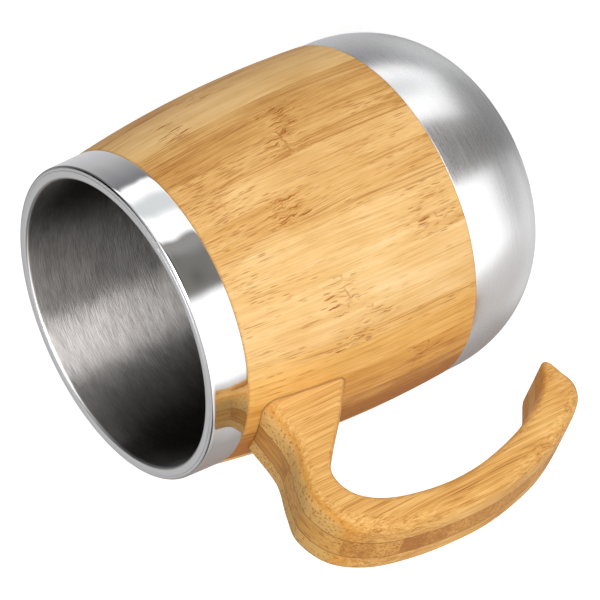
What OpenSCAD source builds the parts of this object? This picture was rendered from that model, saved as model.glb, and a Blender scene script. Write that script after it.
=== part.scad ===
// Bamboo cup: a drawn steel liner inside a turned sleeve of glued bamboo staves,
// with a polished steel collar, a brushed steel base cup and a three-ply bamboo handle.
// Millimetres. The cup stands on its base at z = 0, its axis is Z, the handle is at +X.

/* [Cup] */
// Height of the cup from the table to the crest of the lip
cup_h = 107.5; // [100:0.5:125]
// Diameter across the rim, outside the collar's rolled top edge
mouth_d = 80.5; // [70:0.5:95]
// Width of the liner's lip, from the straight inside wall to the crease
lip_w = 2.3; // [1.9:0.1:3]
// Height of the lower seam, where the bamboo meets the base cup
base_seam_z = 31.8; // [28:0.2:38]
// Height of the collar's bright band below the crest of the lip
collar_band = 10; // [9:0.5:12]

/* [Steel] */
// Inside radius where the liner's wall turns outward into the lip
lip_curl = 0.3; // [0.2:0.05:0.5]
// Rounding of the lip's outer edge at the crease
lip_edge = 0.25; // [0.15:0.05:0.4]
// Depth of the lip's skirt below the crest
lip_skirt = 3; // [2.2:0.2:4]
// Wall of the drawn liner
liner_wall = 0.6; // [0.4:0.1:0.8]
// Wall of the collar
collar_wall = 0.7; // [0.5:0.1:0.8]
// Wall of the base cup and of its ring
base_wall = 0.8; // [0.6:0.1:1]
// Width of the collar's rolled top edge round the lip
collar_roll = 1.15; // [1:0.05:1.6]
// Height of the collar's rolled top edge
collar_roll_h = 1.3; // [1.1:0.1:1.8]
// Depth of the collar's rolled top edge below the crest of the lip
collar_drop = 0.25; // [0.1:0.05:0.5]
// Radius where the liner's wall turns into its floor
liner_corner = 14; // [8:1:20]
// Height of the liner's floor above the table, outside
liner_floor_z = 10; // [8:0.5:14]
// Running clearance between pieces that slide into each other
fit_gap = 0.1; // [0.05:0.01:0.15]
// Length of the steel necks that reach into the sleeve
neck_len = 8; // [5:0.5:9]

/* [Base cup] */
// Step from the bamboo's outside in to the base cup at their seam
base_step = 0.15; // [0:0.05:0.5]
// Radius of the flat that the cup stands on
foot_r = 23.3; // [18:0.1:30]
// Height of the straight band between the rounded corner and the seam
base_band = 4.3; // [3:0.1:8]
// Length of the base ring's flange inside the base cup
ring_flange = 4; // [2:0.5:4.5]

/* [Bamboo sleeve] */
// Number of staves glued edge to edge
stave_count = 18; // [10:1:24]
// Thickness of the bamboo at the sleeve's upper end
sleeve_top_wall = 2.2; // [2:0.1:3.2]
// Thickness of the bamboo at the sleeve's lower end
sleeve_low_wall = 6.2; // [5.6:0.1:6.8]
// Outward bulge of the barrel between its two ends
barrel_bulge = 1.85; // [0.5:0.05:3]
// Break on the sleeve's end edges
edge_break = 0.25; // [0.15:0.05:0.4]
// Angle by which the glue joints are turned from the handle's plane
stave_turn = 8.5; // [6:0.5:12]

/* [Handle] */
// Thickness of the whole three-ply handle, side to side
handle_w = 21; // [17:0.5:24]
// Thickness of the middle ply
core_ply = 6.6; // [5.5:0.1:8]
// Reach of the handle beyond the sleeve's wall at the pad
handle_reach = 43; // [35:0.5:48]
// Height of the handle from its highest point to the tip
handle_drop = 79.2; // [66:0.2:88]
// Distance of the handle's highest point below the crest of the lip
handle_below_lip = 8.9; // [8:0.1:12]
// Radius of the round-over on the back edges
back_round = 4; // [2.5:0.1:5]
// Radius of the round-over on the inner edges
inner_round = 2.4; // [1.5:0.1:3]
// Glue line between the saddle and the sleeve
glue_gap = 0.12; // [0.1:0.01:0.2]

/* [Handle screws] */
// Radius of the screw's shank
screw_r = 1.7; // [1.4:0.1:2]
// Radius of the countersunk head
screw_head_r = 3.2; // [2.8:0.1:3.4]
// Height of the countersunk head
screw_head_h = 1.6; // [1.4:0.1:1.9]
// Length of the screw from the head's face to the point
screw_len = 12; // [10:0.5:12.5]
// Length of the screw's point
screw_point = 3; // [2:0.5:4]
// Clearance round a screw
screw_gap = 0.05; // [0.03:0.01:0.08]
// Distance of the upper screw below the handle's highest point
screw_drop = 10; // [9:0.5:11]
// Free distance between the two heads
screw_space = 1; // [0.6:0.1:1.6]

/* [Hidden] */
fn_round = 96;
barrel_steps = 16;
corner_steps = 14;
lip_steps = 8;
ring_steps = 5;
round_steps = 5;
cut_over = 0.5;

mouth_r = mouth_d / 2;
lip_out_r = mouth_r - collar_roll;
bore_r = lip_out_r - lip_w;
lip_round = liner_wall + lip_curl;
skirt_z = cup_h - lip_skirt;
liner_r = bore_r + liner_wall;
hem_r = lip_out_r + fit_gap / 2;
collar_seam_z = cup_h - collar_band;
neck_in_r = liner_r + fit_gap;
collar_neck_r = neck_in_r + collar_wall;
base_neck_r = neck_in_r + base_wall;
sleeve_bore_r = max(collar_neck_r, base_neck_r) + fit_gap;
sleeve_top_r = sleeve_bore_r + sleeve_top_wall;
sleeve_low_r = sleeve_bore_r + sleeve_low_wall;
base_seam_r = sleeve_low_r - base_step;
corner_h = base_seam_z - base_band;
sleeve_h = collar_seam_z - base_seam_z;
core_half = core_ply / 2;
handle_top_z = cup_h - handle_below_lip;
screw_top_z = handle_top_z - screw_drop;
screw_pitch = 2 * screw_head_r + screw_space;
stave_angle = 360 / stave_count;

// Radius of the barrel's outside at a height
function barrel_r(z) =
    let (t = (z - base_seam_z) / sleeve_h, s = 2 * t - 1)
    sleeve_low_r + (sleeve_top_r - sleeve_low_r) * t + barrel_bulge * (1 - s * s);

// Points of an elliptical arc about a centre
function arc(cx, cz, rx, rz, from, to, steps) =
    [for (i = [0 : steps]) let (a = from + (to - from) * i / steps) [cx + rx * cos(a), cz + rz * sin(a)]];

function reversed(list) = [for (i = [len(list) - 1 : -1 : 0]) list[i]];

module turned(points) {
    rotate_extrude($fn = fn_round) polygon(points);
}

// Drawn inner cup. Its wall turns outward at the mouth into a flat lip with a skirt.
module inner_liner() {
    in_corner = liner_corner - liner_wall;
    floor_r = liner_r - liner_corner;
    turn_r = bore_r + lip_round;
    turn_z = cup_h - lip_round;
    color("silver") turned(concat(
        [[0, liner_floor_z]],
        arc(floor_r, liner_floor_z + liner_corner, liner_corner, liner_corner, -90, 0, corner_steps),
        arc(turn_r, turn_z, lip_curl, lip_curl, 180, 90, lip_steps),
        [[lip_out_r - liner_wall, cup_h - liner_wall], [lip_out_r - liner_wall, skirt_z], [lip_out_r, skirt_z]],
        arc(lip_out_r - lip_edge, cup_h - lip_edge, lip_edge, lip_edge, 0, 90, lip_steps),
        arc(turn_r, turn_z, lip_round, lip_round, 90, 180, lip_steps),
        arc(floor_r, liner_floor_z + liner_corner, in_corner, in_corner, 0, -90, corner_steps),
        [[0, liner_floor_z + liner_wall]]
    ));
}

// Polished collar. Its top edge is rolled in against the lip's skirt, its band runs down flush
// with the bamboo, its ledge sits on the sleeve and its neck reaches down inside it.
module rim_collar() {
    ledge_z = collar_seam_z + collar_wall;
    roll_z = cup_h - collar_drop - collar_roll_h;
    roll_w = mouth_r - hem_r;
    color("gainsboro") turned(concat(
        arc(hem_r, roll_z, roll_w, collar_roll_h, 90, 0, lip_steps),
        [[sleeve_top_r, collar_seam_z],
         [collar_neck_r, collar_seam_z], [collar_neck_r, collar_seam_z - neck_len],
         [neck_in_r, collar_seam_z - neck_len], [neck_in_r, ledge_z],
         [sleeve_top_r - collar_wall, ledge_z]],
        arc(hem_r, roll_z, roll_w - collar_wall, collar_roll_h - collar_wall, 0, 90, lip_steps)
    ));
}

// Brushed base cup, open at the top, with a flat foot and a wide rounded corner
module base_cup() {
    corner_r = base_seam_r - foot_r;
    color("darkgray") turned(concat(
        [[0, 0]],
        arc(foot_r, corner_h, corner_r, corner_h, -90, 0, corner_steps),
        [[base_seam_r, base_seam_z], [base_seam_r - base_wall, base_seam_z]],
        arc(foot_r, corner_h, corner_r - base_wall, corner_h - base_wall, 0, -90, corner_steps),
        [[0, base_wall]]
    ));
}

// Ring welded inside the base cup's mouth, with a neck that the sleeve is glued on
module base_ring() {
    flange_r = base_seam_r - base_wall - fit_gap;
    ledge_z = base_seam_z - base_wall;
    flange_z = ledge_z - ring_flange;
    color("darkgray") turned([
        [neck_in_r, ledge_z], [flange_r - base_wall, ledge_z], [flange_r - base_wall, flange_z],
        [flange_r, flange_z], [flange_r, base_seam_z], [base_neck_r, base_seam_z],
        [base_neck_r, base_seam_z + neck_len], [neck_in_r, base_seam_z + neck_len]
    ]);
}

// Places two screws on the handle's plane, pointing outward from the sleeve's bore
module at_screws() {
    for (i = [0 : 1])
        translate([sleeve_bore_r, 0, screw_top_z - i * screw_pitch]) rotate([0, 90, 0]) children();
}

// Cut for one screw: its countersink and its shank hole, both with the clearance
module screw_hole(length) {
    cylinder(h = screw_head_h, r1 = screw_head_r + screw_gap, r2 = screw_r + screw_gap, $fn = fn_round);
    translate([0, 0, -cut_over]) cylinder(h = cut_over, r = screw_head_r + screw_gap, $fn = fn_round);
    cylinder(h = length, r = screw_r + screw_gap, $fn = fn_round);
}

// One stave, a wedge of the turned barrel between two glue joints
module stave(index) {
    outside = [for (i = [0 : barrel_steps])
        let (z = base_seam_z + edge_break + (sleeve_h - 2 * edge_break) * i / barrel_steps) [barrel_r(z), z]];
    profile = concat(
        [[sleeve_bore_r, base_seam_z], [sleeve_low_r - edge_break, base_seam_z]],
        outside,
        [[sleeve_top_r - edge_break, collar_seam_z], [sleeve_bore_r, collar_seam_z]]
    );
    difference() {
        rotate([0, 0, stave_turn + (index - 2) * stave_angle])
            rotate_extrude(angle = stave_angle, $fn = fn_round) polygon(profile);
        if (index == 1) at_screws() screw_hole(screw_len);
    }
}

// Stations along the handle, from the pad on the sleeve to the tip of the open end.
// Columns: outer reach, outer drop, inner reach, inner drop, width. Reach is counted from
// the sleeve's wall and drop from the handle's highest point.
station_shares = [
    [0.000, 0.060, 0.000, 0.350, 1.00],
    [0.220, 0.060, 0.185, 0.260, 1.00],
    [0.420, 0.020, 0.365, 0.160, 1.00],
    [0.580, 0.000, 0.475, 0.115, 1.00],
    [0.770, 0.040, 0.620, 0.130, 1.00],
    [0.900, 0.140, 0.730, 0.205, 1.00],
    [0.970, 0.285, 0.795, 0.330, 1.00],
    [1.000, 0.450, 0.815, 0.460, 1.00],
    [0.990, 0.600, 0.790, 0.590, 1.00],
    [0.925, 0.765, 0.710, 0.745, 1.00],
    [0.830, 0.885, 0.585, 0.870, 1.00],
    [0.735, 0.965, 0.430, 0.945, 0.96],
    [0.665, 1.000, 0.465, 0.965, 0.82]
];

// Smooth curve through the stations, one value between rows i and i + 1
function row(i) = station_shares[min(max(i, 0), len(station_shares) - 1)];
function between(i, t) =
    let (a = row(i - 1), b = row(i), c = row(i + 1), d = row(i + 2))
    0.5 * (2 * b + (c - a) * t + (2 * a - 5 * b + 4 * c - d) * t * t + (3 * b - a - 3 * c + d) * t * t * t);
span_count = len(station_shares) - 1;
stations = concat(
    [for (i = [0 : span_count - 1], k = [0 : ring_steps - 1]) between(i, k / ring_steps)],
    [row(span_count)]
);
// Share of the drop at which the pad's reach is counted from the sleeve's wall
pad_share = 0.2;
pad_r = barrel_r(handle_top_z - pad_share * handle_drop);
function outer_point(s) = [pad_r + s[0] * handle_reach, handle_top_z - s[1] * handle_drop];
function inner_point(s) = [pad_r + s[2] * handle_reach, handle_top_z - s[3] * handle_drop];

// Point of the saddle: the sleeve's surface, one glue line out, at a height and a side offset
function saddle_x(z, y) = sqrt(pow(barrel_r(z) + glue_gap, 2) - y * y);

// Half section of a side ply as [distance from the inner edge, distance from the handle's plane]
function ply_section(depth, width) =
    let (side = handle_w / 2 * width, back = min(back_round, depth - inner_round, side - core_half))
    concat(
        [for (i = [0 : round_steps])
            let (a = 90 * i / round_steps)
            [inner_round * (1 - cos(a)), side - inner_round * (1 - sin(a))]],
        [for (i = [0 : round_steps])
            let (a = 90 * i / round_steps)
            [depth - back * (1 - sin(a)), side - back * (1 - cos(a))]]
    );

// Ring of a side ply at a station: the glued face first, then the rounded outside back again
function ply_ring(i) =
    let (
        s = stations[i], o = outer_point(s), n = inner_point(s),
        depth = norm(o - n), section = ply_section(depth, s[4]),
        place = function (u, y) let (p = n + (o - n) * (u / depth))
            [i == 0 ? saddle_x(p[1], y) : p[0], y, p[1]]
    )
    concat(
        [for (q = section) place(q[0], core_half)],
        [for (q = reversed(section)) place(q[0], q[1])]
    );

// Side ply: the rings joined by quads and closed by a strip of quads at each end
module side_ply() {
    half = len(ply_section(handle_w, 1));
    size = 2 * half;
    rings = len(stations);
    points = [for (i = [0 : rings - 1]) each ply_ring(i)];
    walls = [for (i = [0 : rings - 2], k = [0 : size - 1])
        let (m = (k + 1) % size) [i * size + k, i * size + m, (i + 1) * size + m, (i + 1) * size + k]];
    first = [for (k = [0 : half - 2]) [k, size - 1 - k, size - 2 - k, k + 1]];
    shift = (rings - 1) * size;
    last = [for (f = first) [for (v = reversed(f)) v + shift]];
    polyhedron(points, concat(walls, first, last), convexity = 6);
}

module handle_left_ply() {
    color("peru") side_ply();
}

module handle_right_ply() {
    color("peru") mirror([0, 1, 0]) side_ply();
}

// Middle ply, a flat board between the same two edges as the side plies, bored for the screws.
// It starts inside the sleeve's wall, so that the saddle's cut gives it its whole seat.
module handle_core_ply() {
    sides = concat(
        [[sleeve_top_r, outer_point(stations[0])[1]]],
        [for (s = stations) outer_point(s)],
        [for (s = reversed(stations)) inner_point(s)],
        [[sleeve_top_r, inner_point(stations[0])[1]]]
    );
    color("tan") difference() {
        translate([0, core_half, 0]) rotate([90, 0, 0]) linear_extrude(height = core_ply) polygon(sides);
        turned_saddle();
        at_screws() cylinder(h = screw_len + screw_gap, r = screw_r + screw_gap, $fn = fn_round);
    }
}

// The sleeve's outside grown by the glue line, for cutting the saddle
module turned_saddle() {
    turned(concat(
        [[0, base_seam_z]],
        [for (i = [0 : barrel_steps])
            let (z = base_seam_z + sleeve_h * i / barrel_steps) [barrel_r(z) + glue_gap, z]],
        [[0, collar_seam_z]]
    ));
}

// Two countersunk wood screws, driven from inside the sleeve into the middle ply
module handle_screws() {
    color("dimgray") at_screws() rotate_extrude($fn = fn_round) polygon([
        [0, 0], [screw_head_r, 0], [screw_r, screw_head_h],
        [screw_r, screw_len - screw_point], [0, screw_len]
    ]);
}

inner_liner();
rim_collar();
base_cup();
base_ring();
handle_left_ply();
handle_core_ply();
handle_right_ply();
handle_screws();
for (i = [1 : stave_count])
    color(i % 2 == 0 ? "burlywood" : "sandybrown") stave(i);
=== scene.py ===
from math import cos, pi, radians, sin

import bmesh
import bpy
import numpy as np
from mathutils import Matrix, Vector


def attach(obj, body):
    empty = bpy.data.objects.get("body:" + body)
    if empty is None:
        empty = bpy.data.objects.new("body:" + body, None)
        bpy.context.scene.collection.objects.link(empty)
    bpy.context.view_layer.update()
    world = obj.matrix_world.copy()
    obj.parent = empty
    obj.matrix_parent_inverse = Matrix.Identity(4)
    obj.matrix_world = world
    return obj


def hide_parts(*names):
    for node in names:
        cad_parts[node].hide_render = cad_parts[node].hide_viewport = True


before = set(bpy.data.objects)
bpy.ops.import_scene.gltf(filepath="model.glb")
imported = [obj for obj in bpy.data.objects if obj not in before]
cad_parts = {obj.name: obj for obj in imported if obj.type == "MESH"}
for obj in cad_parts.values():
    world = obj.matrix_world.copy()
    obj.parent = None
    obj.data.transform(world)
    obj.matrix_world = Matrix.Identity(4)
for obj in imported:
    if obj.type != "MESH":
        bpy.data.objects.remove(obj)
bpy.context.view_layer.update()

mm = 0.001  # one millimetre in metres
meshing = {"turnSteps": 288, "mergeDistance": 2e-7, "sharpAngle": 35.0}


# Sockets and materials

class Wire:
    # A socket of a node tree. Arithmetic on it adds Math nodes.
    def __init__(self, tree, socket=None):
        self.tree = tree
        self.socket = socket

    # Any node: its type, its settings, then the values or wires of its inputs
    def node(self, kind, settings=None, inputs=None, out=0):
        made = self.tree.nodes.new("ShaderNode" + kind)
        for key, value in (settings or {}).items():
            if key == "stops":
                setStops(made.color_ramp, value)
            else:
                setattr(made, key, value)
        for key, value in (inputs or {}).items():
            if isinstance(value, Wire):
                self.tree.links.new(value.socket, made.inputs[key])
            else:
                made.inputs[key].default_value = value
        return Wire(self.tree, made.outputs[out])

    def math(self, operation, *values):
        return self.node("Math", {"operation": operation}, dict(enumerate(values)))

    def __add__(self, other):
        return self.math("ADD", self, other)

    def __radd__(self, other):
        return self.math("ADD", other, self)

    def __sub__(self, other):
        return self.math("SUBTRACT", self, other)

    def __rsub__(self, other):
        return self.math("SUBTRACT", other, self)

    def __mul__(self, other):
        return self.math("MULTIPLY", self, other)

    def __rmul__(self, other):
        return self.math("MULTIPLY", other, self)

    def __truediv__(self, other):
        return self.math("DIVIDE", self, other)

    # Smooth step from 0 at low to 1 at high
    def rise(self, low, high):
        return self.node("MapRange", {"interpolation_type": "SMOOTHSTEP"}, {0: self, 1: low, 2: high})

    # Straight step from 0 at low to 1 at high, or to other values
    def ramp(self, low, high, first=0.0, last=1.0):
        return self.node("MapRange", {}, {0: self, 1: low, 2: high, 3: first, 4: last})

    # The value without its sign
    def size(self):
        return self.math("ABSOLUTE", self)

    def root(self):
        return self.math("SQRT", self)

    # The larger of two values
    def larger(self, other):
        return self.math("MAXIMUM", self, other)

    # 1 at the middle, falling to 0 at that distance from it
    def near(self, middle, reach):
        return (self - middle).size().rise(reach, 0.0)

    # The three numbers of a vector
    def parts(self):
        return [self.node("SeparateXYZ", {}, {0: self}, i) for i in range(3)]

    def vector(self, x, y, z):
        return self.node("CombineXYZ", {}, {0: x, 1: y, 2: z})

    # A colour or vector times a number
    def scaled(self, vector, factor):
        return self.node("VectorMath", {"operation": "SCALE"}, {0: vector, "Scale": factor})

    # First colour at factor 0, second at 1. Inputs 6 and 7 of a Mix node, and output 2, are its colours.
    def blend(self, factor, first, second, kind="MIX"):
        settings = {"data_type": "RGBA", "blend_type": kind}
        return self.node("Mix", settings, {0: factor, 6: first, 7: second}, 2)

    # Noise from 0 to 1 at a vector that is already in pattern units
    def noise(self, vector, detail=2.0, roughness=0.5):
        inputs = {"Vector": vector, "Scale": 1.0, "Detail": detail, "Roughness": roughness}
        return self.node("TexNoise", {}, inputs)

    # One random value for each step of a place along a line
    def steps(self, place):
        return self.node("TexWhiteNoise", {"noise_dimensions": "1D"}, {"W": place.math("FLOOR", place)})

    # A normal bent as a height of that depth in metres would bend it
    def relief(self, height, depth, strength=1.0):
        return self.node("Bump", {}, {"Strength": strength, "Distance": depth, "Height": height})

    def attribute(self, name):
        return self.node("Attribute", {"attribute_name": name}, {}, "Vector").parts()

    # The point or the normal in the piece's own space
    def coordinates(self, kind="Object"):
        return self.node("TexCoord", out=kind).parts()

    # What Light Path says of a ray, such as 1 where the camera sent it
    def ray(self, kind):
        return self.node("LightPath", out=kind)


# A colour that covers fully
def colour(red, green, blue):
    return (red, green, blue, 1.0)


def grey(level):
    return colour(level, level, level)


# Stops of a colour ramp: a place from 0 to 1, then a grey level or a colour
def setStops(ramp, stops):
    while len(ramp.elements) > 1:
        ramp.elements.remove(ramp.elements[-1])
    for i, (place, shade) in enumerate(stops):
        stop = ramp.elements[0] if i == 0 else ramp.elements.new(place)
        stop.position = place
        stop.color = colour(*shade) if isinstance(shade, tuple) else grey(shade)


# A material with one Principled shader, whose fixed sockets are set here
def newMaterial(name, fixed):
    material = bpy.data.materials.new(name)
    material.use_nodes = True
    tree = material.node_tree
    shader = tree.nodes["Principled BSDF"]
    for key, value in fixed.items():
        shader.inputs[key].default_value = value
    return material, Wire(tree), shader


def link(wire, shader, name):
    wire.tree.links.new(wire.socket, shader.inputs[name])


# Mesh making

# Quads between the rows of a grid of points, as indices into the flat list of its points
def gridFaces(rows, columns, closedRows=False, closedColumns=False):
    r = np.arange(rows if closedRows else rows - 1)
    c = np.arange(columns if closedColumns else columns - 1)
    r, c = [a.ravel() for a in np.meshgrid(r, c, indexing="ij")]
    r2, c2 = (r + 1) % rows, (c + 1) % columns
    return np.stack([r * columns + c, r * columns + c2, r2 * columns + c2, r2 * columns + c], 1)


# Quads across both ends of a tube whose rings run out along one side and back along the other, each
# between two points of one side and the two that lie opposite
def endFaces(rings, size):
    k = np.arange(size // 2 - 1)
    first = np.stack([k, size - 1 - k, size - 2 - k, k + 1], 1)
    last = first[:, ::-1] + (rings - 1) * size
    return first, last


# Rows of x, y and z, one for each point of three grids
def gridPoints(x, y, z):
    return np.stack([x, y, z], -1).reshape(-1, 3)


# A mesh object from millimetre points and quads. Doubles are merged, normals are turned outward and
# edges past the sharp angle stay sharp. Attributes are vectors, one for each point or each face.
def newPiece(name, points, faces, material, replaced, attributes=None):
    mesh = bpy.data.meshes.new(name)
    mesh.from_pydata((points * mm).tolist(), [], faces.tolist())
    for key, values in (attributes or {}).items():
        domain = "POINT" if len(values) == len(points) else "FACE"
        layer = mesh.attributes.new(key, "FLOAT_VECTOR", domain)
        layer.data.foreach_set("vector", values.astype(np.float32).ravel())
    work = bmesh.new()
    work.from_mesh(mesh)
    bmesh.ops.remove_doubles(work, verts=work.verts, dist=meshing["mergeDistance"])
    bmesh.ops.recalc_face_normals(work, faces=work.faces)
    work.to_mesh(mesh)
    work.free()
    mesh.polygons.foreach_set("use_smooth", np.ones(len(mesh.polygons), bool))
    mesh.set_sharp_from_angle(angle=radians(meshing["sharpAngle"]))
    mesh.materials.append(material)
    piece = bpy.data.objects.new(name, mesh)
    bpy.context.scene.collection.objects.link(piece)
    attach(piece, "root")
    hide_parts(*replaced)
    return piece


# Points of an elliptical arc about a centre, angles in degrees
def arc(centreR, centreZ, radiusR, radiusZ, start, stop, steps):
    a = np.radians(np.linspace(start, stop, steps + 1))
    return np.stack([centreR + radiusR * np.cos(a), centreZ + radiusZ * np.sin(a)], 1)


# Profile of (radius, height) rows turned about the cup's axis: radius times cosine and sine of the turn
def turned(profile):
    steps = meshing["turnSteps"]
    a = np.linspace(0, 2 * pi, steps, endpoint=False)[:, None]
    r, z = profile[:, 0][None, :], profile[:, 1][None, :]
    points = gridPoints(r * np.cos(a), r * np.sin(a), z + 0 * a)
    return points, gridFaces(steps, len(profile), closedRows=True)


# Steel

# lineDepth is how deep the brush lines are and wave how uneven the sheet is, in metres. toneSpread is
# how much the lines differ in tone. along and across are the lines' noise scales per metre.
steel = {
    "liner": {"colour": (0.575, 0.553, 0.54), "roughness": 0.36, "anisotropy": 1.0, "lineDepth": 0.00013,
              "toneSpread": 0.18, "wave": 0.0, "along": 380, "across": 3400},
    "lip": {"colour": (0.86, 0.86, 0.87), "roughness": 0.36, "anisotropy": 0.0, "lineDepth": 0.0,
            "toneSpread": 0.02, "wave": 0.0, "along": 160, "across": 9000},
    "collar": {"colour": (0.93, 0.93, 0.935), "roughness": 0.07, "anisotropy": 0.0, "lineDepth": 0.0,
               "toneSpread": 0.01, "wave": 0.0009, "along": 160, "across": 9000},
    "base": {"colour": (0.92, 0.92, 0.925), "roughness": 0.28, "anisotropy": 0.75, "lineDepth": 0.0,
             "toneSpread": 0.018, "wave": 0.0, "along": 160, "across": 9000},
    "hidden": {"colour": (0.45, 0.45, 0.45), "roughness": 0.4, "anisotropy": 0.3, "lineDepth": 0.0,
               "toneSpread": 0.03, "wave": 0.0, "along": 160, "across": 9000},
}
brush = {
    "turn": 0.25, "fineShare": 0.65, "broadAlong": 0.4, "broadAcross": 0.17, "low": 0.3, "high": 0.7,
    "smoothest": 0.85, "roughest": 1.2, "swellAcross": 38, "swellUp": 90,
}


# Brushed or polished steel. The brush lines run round the axis: the pattern is stretched along the
# circle and fine across it, by height plus radius, so it also holds on the rounded corner and the foot.
def makeSteel(name, s):
    material, w, shader = newMaterial(name, {
        "Metallic": 1.0, "Anisotropic": s["anisotropy"], "Anisotropic Rotation": brush["turn"],
        "Roughness": s["roughness"],
    })
    x, y, z = w.coordinates()
    across = z + (x * x + y * y).root()
    along, fineness = s["along"], s["across"]
    fine = w.noise(w.vector(x * along, y * along, across * fineness), 3.0, 0.6)
    along, fineness = along * brush["broadAlong"], fineness * brush["broadAcross"]
    broad = w.noise(w.vector(x * along, y * along, across * fineness), 2.0)
    lines = fine * brush["fineShare"] + broad * (1 - brush["fineShare"])
    low, high = brush["low"], brush["high"]
    shade = lines.ramp(low, high, 1 - s["toneSpread"], 1 + s["toneSpread"])
    link(w.scaled(s["colour"], shade), shader, "Base Color")
    smooth, rough = s["roughness"] * brush["smoothest"], s["roughness"] * brush["roughest"]
    link(lines.ramp(low, high, smooth, rough), shader, "Roughness")
    if s["lineDepth"] > 0:
        link(w.relief(lines, s["lineDepth"]), shader, "Normal")
    # Rolled sheet is never quite even, which bends what it mirrors
    if s["wave"] > 0:
        side, up = brush["swellAcross"], brush["swellUp"]
        swell = w.noise(w.vector(x * side, y * side, z * up), 1.0)
        link(w.relief(swell, s["wave"]), shader, "Normal")
    return material


finishes = {key: makeSteel(key + "Steel", s) for key, s in steel.items()}
print("steel finishes made")


# Gives the faces of a piece above a height and within a radius the lip's satin finish
def satinAbove(piece, height, radius):
    mesh = piece.data
    mesh.materials.append(finishes["lip"])
    middles = np.zeros(len(mesh.polygons) * 3)
    mesh.polygons.foreach_get("center", middles)
    x, y, z = middles.reshape(-1, 3).T / mm
    chosen = (z > height) & (np.hypot(x, y) < radius)
    mesh.polygons.foreach_set("material_index", chosen.astype(int))


# Inner liner with its flat lip

liner = {
    "height": 107.5, "lipOutR": 39.1, "boreR": 36.8, "curl": 0.3, "edge": 0.1, "skirt": 3.0, "wall": 0.6,
    "corner": 14.0, "floorZ": 10.0, "lipSteps": 12, "curlSteps": 4, "cornerSteps": 24, "wallSteps": 24,
}


# Closed profile turned about the axis: out under the floor, up the outside with a quarter circle at the
# corner, over the lip and its skirt, and back down the bore
def makeLiner(s):
    top = s["height"]
    lipRound = s["wall"] + s["curl"]
    turnR = s["boreR"] + lipRound
    turnZ = top - lipRound
    linerR = s["boreR"] + s["wall"]
    skirtIn = s["lipOutR"] - s["wall"]
    floorR = linerR - s["corner"]
    cornerZ = s["floorZ"] + s["corner"]
    inCorner = s["corner"] - s["wall"]
    wallZ = np.linspace(turnZ, cornerZ, s["wallSteps"])[1:-1]
    profile = np.concatenate([
        [[0, s["floorZ"]]],
        arc(floorR, cornerZ, s["corner"], s["corner"], -90, 0, s["cornerSteps"]),
        arc(turnR, turnZ, s["curl"], s["curl"], 180, 90, s["curlSteps"]),
        [[skirtIn, top - s["wall"]], [skirtIn, top - s["skirt"]], [s["lipOutR"], top - s["skirt"]]],
        arc(s["lipOutR"] - s["edge"], top - s["edge"], s["edge"], s["edge"], 0, 90, s["lipSteps"]),
        arc(turnR, turnZ, lipRound, lipRound, 90, 180, s["lipSteps"]),
        np.stack([np.full_like(wallZ, s["boreR"]), wallZ], 1),
        arc(floorR, cornerZ, inCorner, inCorner, 0, -90, s["cornerSteps"]),
        [[0, s["floorZ"] + s["wall"]]],
    ])
    points, faces = turned(profile)
    piece = newPiece("drawnLiner", points, faces, finishes["liner"], ["inner_liner"])
    satinAbove(piece, top - lipRound / 2, s["lipOutR"])


makeLiner(liner)


# Polished collar, its top edge rolled in against the lip

collar = {
    "rimR": 40.25, "hemR": 39.12, "rollH": 1.3, "rollPower": 0.6, "drop": 0.07, "top": 107.5,
    "seamR": 40.6, "seamZ": 97.5, "edge": 0.08, "wall": 0.7, "neckIn": 37.5, "neckOut": 38.2,
    "neckLength": 8.0, "satinDepth": 0.12, "satinInset": 0.35, "steps": 24, "rollSteps": 20,
    "edgeSteps": 3, "innerSteps": 8,
}


# Closed profile turned about the axis: the roll, the straight band, the seam's edge, the neck inside the
# staves and the inside of the sheet. The roll is a quarter of a superellipse, flatter on top and tighter
# at its outer edge than a round: cosine and sine to the same power, stretched to the roll's two sizes.
def makeCollar(s):
    hemZ = s["top"] - s["drop"]
    rollZ = hemZ - s["rollH"]
    rollW = s["rimR"] - s["hemR"]
    a = np.radians(np.linspace(90, 0, s["rollSteps"] + 1))
    roll = np.stack([s["hemR"] + rollW * np.maximum(np.cos(a), 0) ** s["rollPower"],
                     rollZ + s["rollH"] * np.maximum(np.sin(a), 0) ** s["rollPower"]], 1)
    t = np.linspace(0, 1, s["steps"])[1:-1]
    lowZ = s["seamZ"] + s["edge"]
    band = np.stack([s["rimR"] + (s["seamR"] - s["rimR"]) * t, rollZ + (lowZ - rollZ) * t], 1)
    ledgeZ = s["seamZ"] + s["wall"]
    endZ = s["seamZ"] - s["neckLength"]
    profile = np.concatenate([
        roll,
        band,
        arc(s["seamR"] - s["edge"], lowZ, s["edge"], s["edge"], 0, -90, s["edgeSteps"]),
        [[s["neckOut"], s["seamZ"]], [s["neckOut"], endZ], [s["neckIn"], endZ], [s["neckIn"], ledgeZ]],
        [[s["seamR"] - s["wall"], ledgeZ]],
        arc(s["hemR"], rollZ, rollW - s["wall"], s["rollH"] - s["wall"], 0, 90, s["innerSteps"]),
        [[s["hemR"], hemZ]],
    ])
    points, faces = turned(profile)
    piece = newPiece("polishedCollar", points, faces, finishes["collar"], ["rim_collar"])
    satinAbove(piece, hemZ - s["satinDepth"], s["rimR"] - s["satinInset"])


makeCollar(collar)


# Base cup

base = {
    "seamR": 44.45, "seamZ": 31.8, "footR": 23.3, "cornerH": 27.5, "wall": 0.8, "edge": 0.12,
    "footSteps": 8, "cornerSteps": 64, "edgeSteps": 4, "innerSteps": 24,
}


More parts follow.
